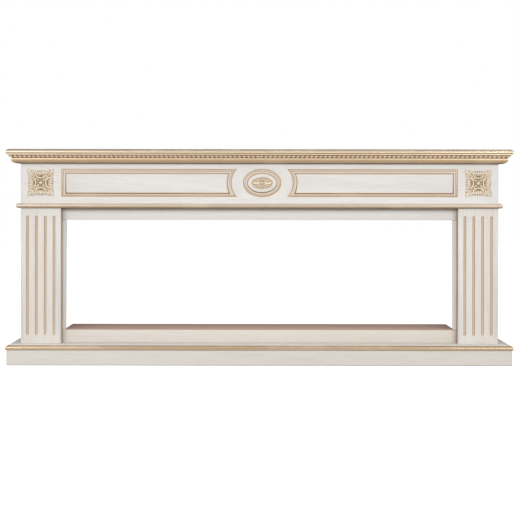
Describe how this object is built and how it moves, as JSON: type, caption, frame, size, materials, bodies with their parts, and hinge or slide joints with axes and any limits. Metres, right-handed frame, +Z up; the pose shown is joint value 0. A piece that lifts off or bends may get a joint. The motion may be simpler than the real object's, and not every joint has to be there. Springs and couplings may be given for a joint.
{
  "type": "fireplace mantelpiece",
  "caption": "Wide classical portal of veneered boards with fluted pilasters, routed frieze, rope crown moulding and an open middle for a long low fire that stands on its sill.",
  "frame": {"origin": "on the floor, at the middle of the width and depth that the mantelpiece covers", "axes": "+X to the right as seen from the front, +Y towards the wall behind it, +Z up"},
  "size_m": [2.04, 0.37, 0.87],
  "materials": {
    "ivory_oak": "satin ivory lacquer over oak veneer, patina in the grain",
    "gold_patina": "satin gold patina rubbed over ivory on carved wood",
    "raw_board": "matt raw board"
  },
  "bodies": {
    "root": {"shelf_top": "ivory_oak", "cornice_front": "gold_patina", "cornice_left": "gold_patina", "cornice_right": "gold_patina", "rope_front": "gold_patina", "rope_left": "gold_patina", "rope_right": "gold_patina", "frieze_front": "ivory_oak", "frieze_soffit": "ivory_oak", "rosette_left": "gold_patina", "rosette_right": "gold_patina", "oval_rosette": "gold_patina", "astragal_front": "gold_patina", "astragal_left": "gold_patina", "astragal_right": "gold_patina", "pilaster_left": "ivory_oak", "pilaster_right": "ivory_oak", "pilaster_return_left": "ivory_oak", "pilaster_return_right": "ivory_oak", "side_panel_left": "ivory_oak", "side_panel_right": "ivory_oak", "top_rail": "ivory_oak", "bottom_rail": "ivory_oak", "jamb_left": "ivory_oak", "jamb_right": "ivory_oak", "sill_board": "raw_board", "sill_support_left": "raw_board", "sill_support_right": "raw_board", "sill_support_rear": "raw_board", "base_deck": "ivory_oak", "plinth_front": "ivory_oak", "plinth_left": "ivory_oak", "plinth_right": "ivory_oak", "plinth_rear": "raw_board", "rear_rail": "raw_board"}
  },
  "joints": []
}
